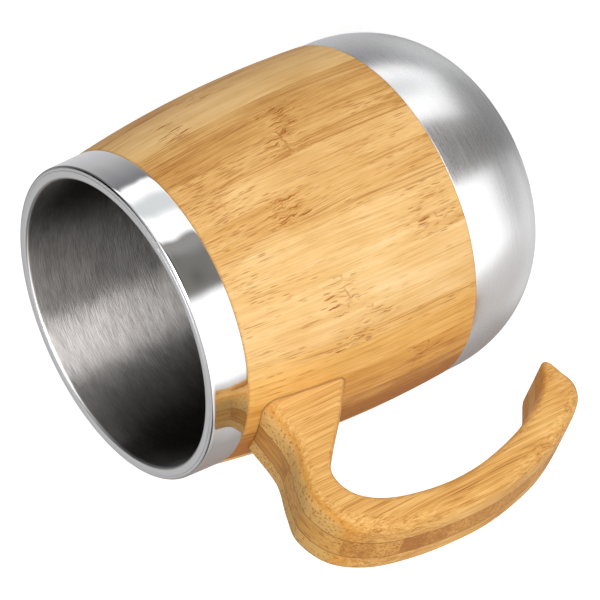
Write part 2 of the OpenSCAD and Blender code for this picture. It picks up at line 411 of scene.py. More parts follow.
# Closed profile turned about the axis: the flat foot, a quarter ellipse up to the straight rim, the
# rim's edge, and the same quarter ellipse one wall further in
def makeBase(s):
    cornerR = s["seamR"] - s["footR"]
    rimR, rimZ = s["seamR"] - s["edge"], s["seamZ"] - s["edge"]
    foot = np.linspace(0, s["footR"], s["footSteps"])[:-1]
    inR, inH = cornerR - s["wall"], s["cornerH"] - s["wall"]
    profile = np.concatenate([
        np.stack([foot, 0 * foot], 1),
        arc(s["footR"], s["cornerH"], cornerR, s["cornerH"], -90, 0, s["cornerSteps"]),
        arc(rimR, rimZ, s["edge"], s["edge"], 0, 90, s["edgeSteps"]),
        [[s["seamR"] - s["wall"], s["seamZ"]]],
        arc(s["footR"], s["cornerH"], inR, inH, 0, -90, s["innerSteps"]),
        [[0, s["wall"]]],
    ])
    points, faces = turned(profile)
    newPiece("brushedBase", points, faces, finishes["base"], ["base_cup"])


makeBase(base)
for node in ("base_ring", "handle_screws"):
    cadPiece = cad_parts[node]
    cadPiece.data.materials.clear()
    cadPiece.data.materials.append(finishes["hidden"])
print("steel pieces made")


# Bamboo sleeve

sleeve = {
    "staves": 18, "turn": 8.5, "boreR": 38.4, "lowR": 44.6, "topR": 40.6, "bulge": 1.85,
    "lowZ": 31.8, "topZ": 97.5, "edge": 0.25, "edgeSteps": 3, "columnStep": 0.62, "rows": 72,
    "meanR": 44.0, "cutMargin": 0.05,
}
# Bamboo strips that the staves are laminated from. start is the azimuth where one begins, tone runs from
# dark amber to pale straw, warm adds orange, flecks and lines are how many short and long dark vessels
# show, knotZ and knotDark are the node's height and how dark it is, and patchZ and patchMany are the
# height of a place with more flecks, and how many.
stripSizes = ("start", "tone", "warm", "flecks", "lines", "knotZ", "knotDark", "patchZ", "patchMany")
stripRows = [
    # The first strip's dark tone is partly its own and partly painted shade from the handle
    (-11.5, -0.10, 1.0, 0.2, 0.3, 20, 0.0, 60, 0.1),
    (-5.0, 0.12, 0.3, 0.2, 0.3, 55, 0.3, 50, 0.2),
    (1.5, 0.28, 0.8, 0.3, 0.3, 50, 0.4, 48, 0.3),
    (8.5, 0.38, 1.0, 0.3, 0.4, 47, 0.7, 50, 0.5),
    (14.0, 0.66, 1.0, 0.3, 0.4, 20, 0.0, 92, 0.4),
    (24.0, 0.66, 0.6, 0.6, 0.9, 68, 0.9, 52, 0.7),
    (28.5, 0.65, 0.1, 0.4, 0.2, 63, 0.6, 63, 0.5),
    (36.0, 0.70, 0.0, 0.4, 0.3, 69, 0.8, 72, 0.3),
    (48.5, 0.62, 0.0, 0.5, 0.3, 40, 0.7, 41, 0.9),
    (54.5, 0.66, 0.0, 0.5, 0.3, 36, 0.2, 41, 0.6),
    (64.7, 0.56, 0.0, 0.5, 1.0, 20, 0.0, 72, 0.2),
    (68.5, 0.47, 0.1, 0.8, 0.7, 76, 0.9, 70, 0.4),
    (77.7, 0.54, 0.1, 0.6, 0.5, 88, 0.35, 86, 0.6),
    (88.5, 0.36, 0.1, 0.9, 0.7, 66, 1.0, 84, 0.7),
    (98.5, 0.30, 0.2, 0.5, 0.3, 61, 0.7, 60, 0.3),
    (108.5, 0.34, 0.1, 0.3, 0.7, 20, 0.0, 60, 0.1),
    (114.5, 0.64, 0.0, 0.1, 0.2, 84, 0.4, 84, 0.2),
    (128.5, 0.57, 0.0, 0.1, 0.3, 69, 0.6, 66, 0.3),
]
# The strips out of the photo's sight: two to a stave, the second off the stave's middle by up to shift
farStrips = {
    "seed": 11, "lookSeed": 5, "end": 348, "shift": 2.5, "tone": (0.3, 0.75), "warm": (0, 0.5),
    "flecks": (0.2, 0.8), "lines": (0.2, 0.8), "knotZ": (40, 92), "knotShare": 0.6, "patchZ": (40, 90),
    "patchMany": (0.1, 0.7), "lastToneAndShade": -0.2, "lastWarm": 1.0,
}


# Each value of a far strip is drawn evenly between its two limits, in a fixed order from one seed
def fillStrips(s):
    draw = np.random.RandomState(s["seed"])
    near = [dict(zip(stripSizes, row)) for row in stripRows]
    nearEnd = near[-1]["start"]
    staveStep = 360 / sleeve["staves"]
    far = []
    for joint in np.arange(nearEnd, s["end"], staveStep):
        for start in (joint, joint + staveStep / 2 + draw.uniform(-s["shift"], s["shift"])):
            if start == nearEnd:
                continue
            strip = {"start": start}
            for key in ("tone", "warm", "flecks", "lines", "knotZ"):
                strip[key] = draw.uniform(*s[key])
            strip["knotDark"] = draw.uniform(0, 1) * (draw.uniform() < s["knotShare"])
            for key in ("patchZ", "patchMany"):
                strip[key] = draw.uniform(*s[key])
            far.append(strip)
    # The last one shows at the lower edge of the photo, dark as its neighbour
    # Its dark tone, like its neighbour's, is partly painted shade from the handle
    far[-1].update({"tone": s["lastToneAndShade"], "warm": s["lastWarm"]})
    return near + far


strips = fillStrips(farStrips)
stripStarts = np.array([strip["start"] for strip in strips])
stripSeeds = np.random.RandomState(farStrips["lookSeed"]).uniform(0, 1, len(strips))


# Outside radius of the barrel at a height, which may be numbers or a wire: a straight taper and a
# parabola for the bulge
def barrelRadius(z):
    t = (z - sleeve["lowZ"]) / (sleeve["topZ"] - sleeve["lowZ"])
    return sleeve["lowR"] + (sleeve["topR"] - sleeve["lowR"]) * t + sleeve["bulge"] * 4 * t * (1 - t)


bamboo = {
    "body": [(0.0, (0.37, 0.155, 0.036)), (0.15, (0.53, 0.265, 0.075)), (0.35, (0.655, 0.365, 0.115)),
             (0.7, (0.79, 0.505, 0.205)), (1.0, (0.88, 0.61, 0.31))],
    # joint is the dark of glue joints, and also of the painted shade at the steel seams and at the pad
    "vessel": (0.36, 0.11, 0.014), "joint": (0.36, 0.17, 0.055), "warmTint": (1.0, 0.9, 0.66),
    "roughness": 0.5, "specular": 0.2, "coat": 0.1, "coatRoughness": 0.32, "reliefDepth": 0.0001,
    "strokeRim": 0.46, "strokeCore": 0.14, "shareFade": 0.25, "seedStep": 40.0, "seamRim": 0.75,
    "seamCore": 0.2,
}


# Vessels of cut bamboo: short strokes about one stretched Voronoi point each, of which a share shows
def strokes(w, u, v, seed, width, length, share):
    cell = w.vector(u / width, v / length, seed * bamboo["seedStep"])
    spot = w.node("TexVoronoi", {"feature": "F1"}, {"Vector": cell, "Scale": 1.0, "Randomness": 1.0})
    random = Wire(w.tree, spot.socket.node.outputs["Color"]).parts()[0]
    shown = (share - random).rise(0.0, bamboo["shareFade"])
    return spot.rise(bamboo["strokeRim"], bamboo["strokeCore"]) * shown


# A tone with noises added to it, each about its middle and by its own amount
def mixTone(tone, noises, amounts):
    for noise, amount in zip(noises, amounts):
        tone = tone + (noise - 0.5) * amount
    return tone


# Body colour of bamboo for a tone from 0 to 1, with the warm tint multiplied in by a share
def bodyColour(w, tone, warm, tint):
    plain = w.node("ValToRGB", {"stops": bamboo["body"]}, {0: tone})
    return w.blend(warm, plain, colour(*tint), "MULTIPLY")


# Dark glue line and painted contact shade where the handle's pad meets the barrel: 1 near the barrel's
# own radius, 0 outside it
def padGlueAndShade(x, y, z):
    return ((x * x + y * y).root() - barrelRadius(z)).rise(bamboo["seamRim"], bamboo["seamCore"])


# Links the colour, the roughness and a relief of that height and strength to the shader
def finishWood(w, shader, seen, roughness, height, strength):
    link(seen, shader, "Base Color")
    link(roughness, shader, "Roughness")
    link(w.relief(height, bamboo["reliefDepth"], strength), shader, "Normal")


# Noises of the sleeve: scale across the fibres and along them per millimetre, an offset between
# patterns, and the noise's detail and roughness
sleeveNoise = {
    "wander": (0.5, 0.4, 0.0, 2.0, 0.5), "drift": (0.05, 0.025, 0.0, 1.0, 0.5),
    "broad": (0.42, 0.012, 0.0, 2.0, 0.5), "streak": (1.9, 0.03, 7.0, 3.0, 0.6),
    "fine": (4.6, 0.11, 3.0, 3.0, 0.65), "cloud": (0.11, 0.07, 19.0, 3.0, 0.5),
    "clump": (0.16, 0.07, 31.0, 1.0, 0.5), "line": (2.3, 0.02, 11.0, 2.0, 0.6),
    "reach": (0.1, 0.035, 13.0, 1.0, 0.5),
}
# Dark vessels of the sleeve: an offset between their rows, width and length in millimetres, darkness
sleeveVessels = {
    "small": (0.0, 0.50, 3.6, 0.6), "faint": (90.0, 0.42, 5.5, 0.36), "dash": (20.0, 0.55, 8.0, 0.6),
    "hard": (55.0, 0.66, 8.0, 1.0),
}
sleeveLook = {
    "seedReach": 130.0, "lean": 0.05, "driftReach": 2.4, "wanderReach": 2.6, "knotReach": 9.0,
    "amounts": (0.5, 0.6, 0.8, 0.6), "topZone": (68.0, 94.0), "lowZone": (50.0, 34.0), "topShare": 0.7,
    "lowShare": 0.4, "anyShare": 0.32, "patchReach": 10.0, "patchShare": 0.65, "knotShare": 0.55,
    "longDark": 0.7, "ridgeWander": 3.5, "ridgeHalf": 0.5, "ridgeDark": 0.65, "jointFrom": 0.22,
    "jointTo": 0.04, "jointDark": 0.35, "topSeam": 0.6, "lowSeam": 0.5, "seamShadeDark": 0.55,
    "fineRoughness": 0.12, "darkRoughness": 0.15, "fineHeight": 0.5, "jointDepth": 0.8, "relief": 0.7,
    "clump": (0.32, 0.62, 0.3, 1.3), "faintShare": 0.5, "faintBase": 0.12, "dashShare": 0.8,
    "hardShare": 1.75, "hardLess": 0.15, "hardWander": 2.0, "lineRise": (0.53, 0.66),
    "reachRise": (0.36, 0.58), "ridgeScale": 0.4, "ridgeOffset": 3.0, "gapScale": 0.35, "gapOffset": 9.0,
    "gapRise": (0.42, 0.56), "jointAcross": 0.02, "jointAlong": 0.09, "jointOffset": 5.0,
    "jointRise": (0.45, 0.7), "seamRise": (-0.1, 0.7),
}


# Sleeve: each strip's own tone, with fibres along the height, dark vessels and nodes
def makeSleeveBamboo(s):
    material, w, shader = newMaterial("sleeveBamboo", {"Specular IOR Level": bamboo["specular"]})
    u, v, edge = w.attribute("grain")
    tone, warm, seed = w.attribute("stripLook")
    knot, knotDark, lines = w.attribute("stripKnot")
    patch, many, flecks = w.attribute("stripMarks")
    shift = seed * s["seedReach"]

    def pattern(name, place):
        across, along, offset, detail, roughness = sleeveNoise[name]
        return w.noise(w.vector(place * across, v * along, shift + offset), detail, roughness)

    # Round the node the fibres wander and crowd together
    away = v - knot
    nearKnot = away.near(0.0, s["knotReach"]) * knotDark
    wander = pattern("wander", u) - 0.5
    drift = pattern("drift", u) - 0.5
    lean = (seed - 0.5) * v * s["lean"]
    us = u + lean + drift * s["driftReach"] + wander * nearKnot * s["wanderReach"]

    # Body: broad bands, fibre streaks, fine fibres and soft clouds on the strip's own tone
    fine = pattern("fine", us)
    noises = (pattern("broad", us), pattern("streak", us), fine, pattern("cloud", us))
    body = bodyColour(w, mixTone(tone, noises, s["amounts"]), warm, bamboo["warmTint"])

    # Dark vessels: short flecks and dashes, many near the ends, in the strip's patch and at its node
    clump = pattern("clump", u).ramp(*s["clump"])
    ends = v.ramp(*s["topZone"]) * s["topShare"] + v.ramp(*s["lowZone"]) * s["lowShare"] + s["anyShare"]
    inPatch = v.near(patch, s["patchReach"]) * many * s["patchShare"]
    share = flecks * ends * clump + inPatch + nearKnot * s["knotShare"]
    shares = {
        "small": share, "faint": flecks * clump * s["faintShare"] + s["faintBase"],
        "dash": share * s["dashShare"], "hard": nearKnot * s["hardShare"] - s["hardLess"],
    }
    # Long ones are lines of noise that come and go
    comes = pattern("reach", u).rise(*s["reachRise"])
    dark = pattern("line", us).rise(*s["lineRise"]) * comes * lines * s["longDark"]
    for name, (offset, width, length, darkness) in sleeveVessels.items():
        along = v + wander * s["hardWander"] if name == "hard" else v
        mark = strokes(w, us + offset, along, seed, width, length, shares[name])
        dark = dark.larger(mark * darkness)
    # The node's own ridge, a wavy line that shows in places
    wave = w.noise(w.vector(u * s["ridgeScale"], shift, s["ridgeOffset"]), 2.0)
    wave = (wave - 0.5) * s["ridgeWander"]
    gaps = w.noise(w.vector(u * s["gapScale"], shift, s["gapOffset"]), 1.0)
    ridgeShow = gaps.rise(*s["gapRise"])
    ridge = (away + wave).near(0.0, s["ridgeHalf"]) * ridgeShow
    dark = dark.larger(ridge * knotDark * s["ridgeDark"])
    seen = w.blend(dark, body, colour(*bamboo["vessel"]))

    # Glue joints between strips show in places
    place = w.vector(u * s["jointAcross"], v * s["jointAlong"], s["jointOffset"])
    jointShow = w.noise(place, 2.0).rise(*s["jointRise"])
    joint = edge.rise(s["jointFrom"], s["jointTo"]) * jointShow * s["jointDark"]
    seen = w.blend(joint, seen, colour(*bamboo["joint"]))
    # Painted shade: both ends of the staves darken towards the two steel seams, where shade falls
    topSeam, lowSeam = sleeve["topZ"] - s["topSeam"], sleeve["lowZ"] + s["lowSeam"]
    rimShade = (v - topSeam).larger(lowSeam - v).rise(*s["seamRise"])
    seen = w.blend(rimShade * s["seamShadeDark"], seen, colour(*bamboo["joint"]))
    roughness = bamboo["roughness"] + (fine - 0.5) * s["fineRoughness"] + dark * s["darkRoughness"]
    height = fine * s["fineHeight"] - dark - joint * s["jointDepth"]
    finishWood(w, shader, seen, roughness, height, s["relief"])
    return material


sleeveBamboo = makeSleeveBamboo(sleeveLook)


# Places round a stave, in degrees: even steps that also meet every joint between two strips
def staveColumns(start, stop):
    margin = sleeve["cutMargin"]
    cuts = [start] + [c for c in stripStarts if start + margin < c < stop - margin] + [stop]
    parts = []
    for low, high in zip(cuts[:-1], cuts[1:]):
        count = int(np.ceil((high - low) / sleeve["columnStep"]))
        parts.append(np.linspace(low, high, count + 1)[:-1])
    return np.concatenate(parts + [[stop]])


# One stave: outside and bore profiles as rows at the same heights, swept through the stave's angle
def makeStave(index):
    s = sleeve
    step = 360 / s["staves"]
    start = s["turn"] + (index - 2) * step
    a = staveColumns(start, start + step)
    edge, steps = s["edge"], s["edgeSteps"]
    z = np.linspace(s["lowZ"] + edge, s["topZ"] - edge, s["rows"])
    lowEdge = arc(s["lowR"] - edge, s["lowZ"] + edge, edge, edge, -90, -30, steps)
    topEdge = arc(s["topR"] - edge, s["topZ"] - edge, edge, edge, 30, 90, steps)
    outside = np.concatenate([lowEdge, np.stack([barrelRadius(z), z], 1), topEdge])
    bore = np.stack([np.full(len(outside), s["boreR"]), outside[:, 1]], 1)
    profile = np.concatenate([outside, bore[::-1]])
    size = len(profile)
    around = np.radians(a)[:, None]
    r, h = profile[:, 0][None, :], profile[:, 1][None, :]
    points = gridPoints(r * np.cos(around), r * np.sin(around), h + 0 * around)
    first, last = endFaces(len(a), size)
    faces = np.concatenate([gridFaces(len(a), size, closedColumns=True), first, last])

    # Attributes: where a point lies in the grain, and the look of the strip that a face belongs to
    toMm = s["meanR"] * pi / 180
    gap = np.abs((a[:, None] - stripStarts[None, :] + 180) % 360 - 180).min(1) * toMm
    grain = gridPoints((a * toMm)[:, None] + 0 * h, h + 0 * around, gap[:, None] + 0 * h)
    middle = (a[:-1] + a[1:]) / 2
    owner = np.repeat(np.searchsorted(stripStarts, middle) - 1, size)
    owner = np.concatenate([owner, np.full(len(first), owner[0]), np.full(len(last), owner[-1])])
    look = np.array([[d["tone"], d["warm"], seed] for d, seed in zip(strips, stripSeeds)])
    knots = np.array([[d["knotZ"], d["knotDark"], d["lines"]] for d in strips])
    marks = np.array([[d["patchZ"], d["patchMany"], d["flecks"]] for d in strips])
    attributes = {
        "grain": grain, "stripLook": look[owner], "stripKnot": knots[owner], "stripMarks": marks[owner],
    }
    newPiece("stave%d" % index, points, faces, sleeveBamboo,
             ["sleeve_stave_%d" % index], attributes)


for i in range(1, sleeve["staves"] + 1):
    makeStave(i)
print("sleeve made")


# Handle of three plies

handle = {
    "width": 21.0, "core": 6.6, "reach": 43.0, "drop": 79.2, "topZ": 98.6, "padShare": 0.2,
    "backRound": 4.0, "innerRound": 2.4, "glue": 0.12, "spanSteps": 14, "roundSteps": 10,
    "coreColumns": 9, "coreRows": 5,
}
# Stations from the pad to the tip: outer reach, outer drop, inner reach, inner drop, width, as shares
stations = np.array([
    [0.000, 0.060, 0.000, 0.350, 1.00],
    [0.220, 0.060, 0.185, 0.260, 1.00],
    [0.420, 0.020, 0.365, 0.160, 1.00],
    [0.580, 0.000, 0.475, 0.115, 1.00],
    [0.770, 0.040, 0.620, 0.130, 1.00],
    [0.900, 0.140, 0.730, 0.205, 1.00],
    [0.970, 0.285, 0.795, 0.330, 1.00],
    [1.000, 0.450, 0.815, 0.460, 1.00],
    [0.990, 0.600, 0.790, 0.590, 1.00],
    [0.925, 0.765, 0.710, 0.745, 1.00],
    [0.830, 0.885, 0.585, 0.870, 1.00],
    [0.735, 0.965, 0.430, 0.945, 0.96],
    [0.665, 1.000, 0.465, 0.965, 0.82],
])

# Grain of the handle. streak and fine are noises: scale across the fibres and along them per millimetre,
# then detail. The rest sets the cut vessels and the dashes.
handleGrain = {
    "streak": (1.3, 0.018, 3.0), "fine": (4.6, 0.07, 2.0), "roughness": 0.6, "vesselSize": 0.9,
    "vesselRun": 0.03, "vesselScatter": 0.85, "vesselRim": 0.44, "vesselCore": 0.20, "layer": 26.0,
    "dashWidth": 0.6, "dashLength": 4.5, "dashShare": 0.2, "fineRoughness": 0.1, "fineHeight": 0.5,
}
ply = {
    "cut": (0.45, 0.92), "bend": 2.0, "seed": 4.0, "board": 7.4, "boardShift": 0.3, "tone": 0.40,
    "amounts": (0.25, 1.2, 1.3, 0.7), "warm": 0.6, "cutDark": (0.58, 0.32, 0.095),
    "cutPale": (0.77, 0.48, 0.165), "cutShow": 0.85, "slantTint": (0.94, 0.76, 0.45), "slantShow": 3.2,
    "bendAcross": 0.06, "bendAlong": 0.03, "cloudAcross": 0.09, "cloudAlong": 0.05,
    "vesselCut": 0.6, "vesselSide": 0.06, "dashCut": 0.4, "dashSide": 0.5,
    "glueFrom": 0.28, "glueTo": 0.02, "glueAndShadeDark": 0.75, "smoother": 0.04, "cutRoughness": 0.1,
    "relief": 0.7,
}
core = {
    "cut": (0.5, 0.95), "seed": 9.0, "block": 6.5, "blockShift": 0.45, "tone": 0.12,
    "amounts": (0.4, 0.7, 0.6), "inside": (-0.3, -0.7), "cupSideLight": 0.6, "warm": 0.6,
    "warmTint": (1.0, 0.92, 0.68), "vesselCut": 0.3, "vesselBlock": 0.5, "vesselSide": 0.1,
    "blockRise": (0.55, 0.8), "dash": 0.35,
    "glueFrom": -0.35, "glueTo": -0.05, "glueAndShadeDark": 0.75, "glueAndShadeColour": (0.22, 0.095, 0.03),
    "relief": 0.6,
}


# Solid bamboo: the fibres run along one axis, so a face along them shows lines and a face across
# them shows the cut vessels as dots. across and other are the two directions across the fibres.
def grainOf(w, across, other, along, seed):
    g = handleGrain

    def fibres(scale, run, detail):
        place = w.vector(across * scale, other * scale, along * run + seed)
        return w.noise(place, detail, g["roughness"])

    cell = w.vector(across / g["vesselSize"], other / g["vesselSize"], along * g["vesselRun"] + seed)
    settings = {"Vector": cell, "Scale": 1.0, "Randomness": g["vesselScatter"]}
    vessel = w.node("TexVoronoi", {"feature": "F1"}, settings).rise(g["vesselRim"], g["vesselCore"])
    dash = strokes(w, across, along, other / g["layer"], g["dashWidth"], g["dashLength"], g["dashShare"])
    return fibres(*g["streak"]), fibres(*g["fine"]), vessel, dash


# Material of a ply with its lacquer, the point in millimetres and one part of the normal
def startPly(name, axis):
    material, w, shader = newMaterial(name, {
        "Specular IOR Level": bamboo["specular"], "Coat Weight": bamboo["coat"],
        "Coat Roughness": bamboo["coatRoughness"],
    })
    place = [part * (1 / mm) for part in w.coordinates()]
    return material, w, shader, place, w.coordinates("Normal")[axis]


# Side plies: fibres along the cup's axis
def makePlyBamboo(s):
    material, w, shader, (x, y, z), facing = startPly("handleBamboo", 2)
    cut = facing.size().rise(*s["cut"])
    across, along = s["bendAcross"], s["bendAlong"]
    bend = w.noise(w.vector(x * across, y * across, z * along), 1.0) - 0.5
    streak, fine, vessel, dash = grainOf(w, x + bend * s["bend"], y, z, s["seed"])
    board = w.steps(x / s["board"] + s["boardShift"])
    across, along = s["cloudAcross"], s["cloudAlong"]
    cloud = w.noise(w.vector(x * across, y * across, z * along), 2.0)
    tone = mixTone(s["tone"], (board, streak, fine, cloud), s["amounts"])
    body = bodyColour(w, tone, s["warm"], bamboo["warmTint"])
    cutFace = w.blend(fine.ramp(0.25, 0.75), colour(*s["cutDark"]), colour(*s["cutPale"]))
    seen = w.blend(cut * s["cutShow"], body, cutFace)
    # Fibres cut at a slant, on the rounded edges, look deeper and more amber
    slant = cut * (1 - cut) * s["slantShow"]
    seen = w.blend(slant, seen, colour(*s["slantTint"]), "MULTIPLY")
    dots = vessel * (cut * s["vesselCut"] + s["vesselSide"])
    dark = dots.larger(dash * (s["dashSide"] - cut * s["dashCut"]))
    seen = w.blend(dark, seen, colour(*bamboo["vessel"]))
    # Dark glue lines between the plies, and at the pad a glue line with painted contact shade
    glueLine = (y.size() - handle["core"] / 2).rise(s["glueFrom"], s["glueTo"])
    glued = glueLine.larger(padGlueAndShade(x, y, z)) * s["glueAndShadeDark"]
    seen = w.blend(glued, seen, colour(*bamboo["joint"]))
    roughness = (bamboo["roughness"] - s["smoother"] + cut * s["cutRoughness"]
                 + (fine - 0.5) * handleGrain["fineRoughness"])
    finishWood(w, shader, seen, roughness, fine * handleGrain["fineHeight"] - dark, s["relief"])
    return material


# Core ply: fibres run away from the cup, in strips stacked along the cup's axis
def makeCoreBamboo(s):
    material, w, shader, (x, y, z), facing = startPly("coreBamboo", 0)
    cut = facing.size().rise(*s["cut"])
    block = w.steps(z / s["block"] + s["blockShift"])
    streak, fine, vessel, dash = grainOf(w, z, y, x, s["seed"])
    # Painted light: the face towards the cup, which lies in shade, is painted paler
    inside = facing.rise(*s["inside"]) * s["cupSideLight"]
    tone = mixTone(s["tone"] + inside, (block, streak, fine), s["amounts"])
    body = bodyColour(w, tone, s["warm"], s["warmTint"])
    inBlock = block.rise(*s["blockRise"]) * s["vesselBlock"]
    dark = (vessel * (cut * s["vesselCut"] + inBlock + s["vesselSide"])).larger(dash * s["dash"])
    seen = w.blend(dark, body, colour(*bamboo["vessel"]))
    # Dark glue lines between the plies, and at the pad a glue line with painted contact shade
    glueLine = (y.size() - handle["core"] / 2).rise(s["glueFrom"], s["glueTo"])
    glued = glueLine.larger(padGlueAndShade(x, y, z)) * s["glueAndShadeDark"]
    seen = w.blend(glued, seen, colour(*s["glueAndShadeColour"]))
    roughness = bamboo["roughness"] + (fine - 0.5) * handleGrain["fineRoughness"]
    finishWood(w, shader, seen, roughness, fine * handleGrain["fineHeight"] - dark, s["relief"])
    return material


handleBamboo = makePlyBamboo(ply)
coreBamboo = makeCoreBamboo(core)


# Smooth curve through rows of numbers: a Catmull-Rom curve, its ends repeated
def smoothRows(rows, steps):
    padded = np.concatenate([rows[:1], rows, rows[-1:]])
    t = (np.arange(steps) / steps)[None, :, None]
    a, b, c, d = [padded[i:len(rows) - 1 + i][:, None, :] for i in range(4)]
    curve = 0.5 * (2 * b + (c - a) * t + (2 * a - 5 * b + 4 * c - d) * t ** 2
                   + (3 * b - a - 3 * c + d) * t ** 3)
    return np.concatenate([curve.reshape(-1, rows.shape[1]), rows[-1:]])


# Outer and inner edge of the handle in its own plane, and its share of the width: the smoothed stations,
# scaled by reach and drop from the pad's radius and the handle's top
def handleEdges(s):
    rows = smoothRows(stations, s["spanSteps"])
    padR = barrelRadius(s["topZ"] - s["padShare"] * s["drop"])
    outer = np.stack([padR + rows[:, 0] * s["reach"], s["topZ"] - rows[:, 1] * s["drop"]], 1)
    inner = np.stack([padR + rows[:, 2] * s["reach"], s["topZ"] - rows[:, 3] * s["drop"]], 1)
    return outer, inner, rows[:, 4]


# The pad's face on the barrel, one glue line out: the root of the squared radius less the squared side
def saddleX(z, y):
    return np.sqrt((barrelRadius(z) + handle["glue"]) ** 2 - y ** 2)


# Side ply: at each station the glued face in one row of points and, in another, the outside with a
# quarter round at the inner edge and one at the back
def makeSidePly(name, side, replaced):
    s = handle
    outer, inner, width = handleEdges(s)
    depth = np.linalg.norm(outer - inner, axis=1)[:, None]
    half = (s["width"] / 2 * width)[:, None]
    glued = s["core"] / 2
    a = np.radians(np.linspace(0, 90, s["roundSteps"] + 1))[None, :]
    front = s["innerRound"]
    back = np.minimum(s["backRound"], np.minimum(depth - front, half - glued))
    u = np.concatenate([front * (1 - np.cos(a)) + 0 * depth, depth - back * (1 - np.sin(a))], 1)
    y = np.concatenate([half - front * (1 - np.sin(a)), half - back * (1 - np.cos(a))], 1)
    u = np.concatenate([u, u[:, ::-1]], 1)
    y = np.concatenate([np.full_like(y, glued), y[:, ::-1]], 1)
    line = inner[:, None, :] + (outer - inner)[:, None, :] * (u / depth)[:, :, None]
    x, z = line[:, :, 0], line[:, :, 1]
    x[0] = saddleX(z[0], y[0])
    rings, size = x.shape
    faces = np.concatenate([gridFaces(rings, size, closedColumns=True), *endFaces(rings, size)])
    newPiece(name, gridPoints(x, side * y, z), faces, handleBamboo, replaced)


# Core ply: a board between the same two edges, as rings of points with a grid over each end
def makeCore():
    s = handle
    outer, inner = handleEdges(s)[:2]
    m, n = s["coreColumns"], s["coreRows"]
    t = np.linspace(0, 1, m)[None, :]
    y = np.linspace(-1, 1, n)[None, None, :] * s["core"] / 2
    line = inner[:, None, :] + (outer - inner)[:, None, :] * t[:, :, None]
    x = np.repeat(line[:, :, 0:1], n, 2)
    z = np.repeat(line[:, :, 1:2], n, 2)
    y = y + 0 * x
    x[0] = saddleX(z[0], y[0])
    # The ring runs round the section: along one glued face, across the back, along the other, across
    order = [(i, 0) for i in range(m)] + [(m - 1, j) for j in range(1, n)]
    order += [(i, n - 1) for i in range(m - 2, -1, -1)] + [(0, j) for j in range(n - 2, 0, -1)]
    p, q = np.array(order).T
    rings, size = len(x), len(order)
    ends = [gridPoints(x[i], y[i], z[i]) for i in (0, -1)]
    points = np.concatenate([gridPoints(x[:, p, q], y[:, p, q], z[:, p, q]), *ends])
    walls = gridFaces(rings, size, closedColumns=True)
    grid = gridFaces(m, n)
    start = rings * size
    faces = np.concatenate([walls, grid + start, grid[:, ::-1] + start + m * n])
    newPiece("corePly", points, faces, coreBamboo, ["handle_core_ply"])


makeSidePly("nearPly", 1, ["handle_left_ply"])
makeSidePly("farPly", -1, ["handle_right_ply"])
makeCore()
print("handle made")


# Floor, studio and camera

studio = {
    "floorColour": 0.9, "floorHalf": 3.0, "floorZ": -0.0001, "floorGlow": 0.6, "fillLevel": 0.37,
    "mouthLevel": 4.9, "bounceDim": 0.03, "cameraAzimuth": 62.8, "panelEdge": 4, "underFrom": -54.0,
    "underTo": -68.0, "mouthFrom": 6.0, "mouthTo": 14.0, "highFrom": 26.0, "highTo": 46.0,
    "lampAim": (0.01, 0, 0.055),
}


# A square whose shader is a matte grey plus a glow for the camera. It is clear to rays that come from
# metal or from below.
def makeFloor(s):
    half, z = s["floorHalf"], s["floorZ"]
    mesh = bpy.data.meshes.new("floor")
    mesh.from_pydata([(-half, -half, z), (half, -half, z), (half, half, z), (-half, half, z)], [],
                     [(0, 1, 2, 3)])
    floor = bpy.data.objects.new("floor", mesh)
    bpy.context.scene.collection.objects.link(floor)
    material = bpy.data.materials.new("paleFloor")
    material.use_nodes = True
    tree = material.node_tree
    tree.nodes.clear()
    w = Wire(tree)
    below = w.node("NewGeometry", out="Backfacing")
    hidden = w.ray("Is Glossy Ray").larger(w.ray("Is Transmission Ray")).larger(below)
    matte = w.node("BsdfDiffuse", {}, {0: grey(s["floorColour"])})
    glow = w.node("Emission", {}, {0: grey(1), 1: w.ray("Is Camera Ray") * s["floorGlow"]})
    shown = w.node("AddShader", {}, {0: matte, 1: glow})
    mixed = w.node("MixShader", {}, {0: hidden, 1: shown, 2: w.node("BsdfTransparent")})
    link(mixed, tree.nodes.new("ShaderNodeOutputMaterial"), "Surface")
    mesh.materials.append(material)


makeFloor(studio)

# Soft panels of the studio that metal reflects: from and to are degrees round the axis from the
# camera's side, low and high are degrees above the horizon
panels = [
    {"from": -68, "to": -7, "low": -55, "high": 8, "soft": 5, "level": 1.3, "tint": (1, 1, 1)},
    {"from": -3, "to": 36, "low": -64, "high": 8, "soft": 4, "level": 0.19, "tint": (1.05, 1, 0.94)},
    {"from": 24, "to": 36, "low": -64, "high": 8, "soft": 5, "level": 0.30, "tint": (1.02, 1, 0.98)},
    {"from": 37, "to": 88, "low": -54, "high": 8, "soft": 3, "level": 1.25, "tint": (1, 1, 1)},
    {"from": 57, "to": 73, "low": -40, "high": 8, "soft": 5, "level": 0.74, "tint": (0.97, 1, 1)},
    {"from": 2, "to": 28, "low": -21, "high": 8, "soft": 5, "level": 0.10, "tint": (1, 1, 0.95)},
    {"from": 95, "to": 178, "low": -13, "high": 8, "soft": 6, "level": 0.12, "tint": (1, 1, 1)},
    {"from": 150, "to": 190, "low": -66, "high": -38, "soft": 6, "level": 0.28, "tint": (1, 1, 1)},
    {"from": -190, "to": -150, "low": -66, "high": -38, "soft": 6, "level": 0.5, "tint": (1, 1, 1)},
    {"from": -165, "to": -118, "low": -70, "high": -42, "soft": 8, "level": 0.74, "tint": (1, 1, 0.99)},
    {"from": 108, "to": 160, "low": -70, "high": -42, "soft": 8, "level": 0.62, "tint": (0.99, 1, 1)},
]
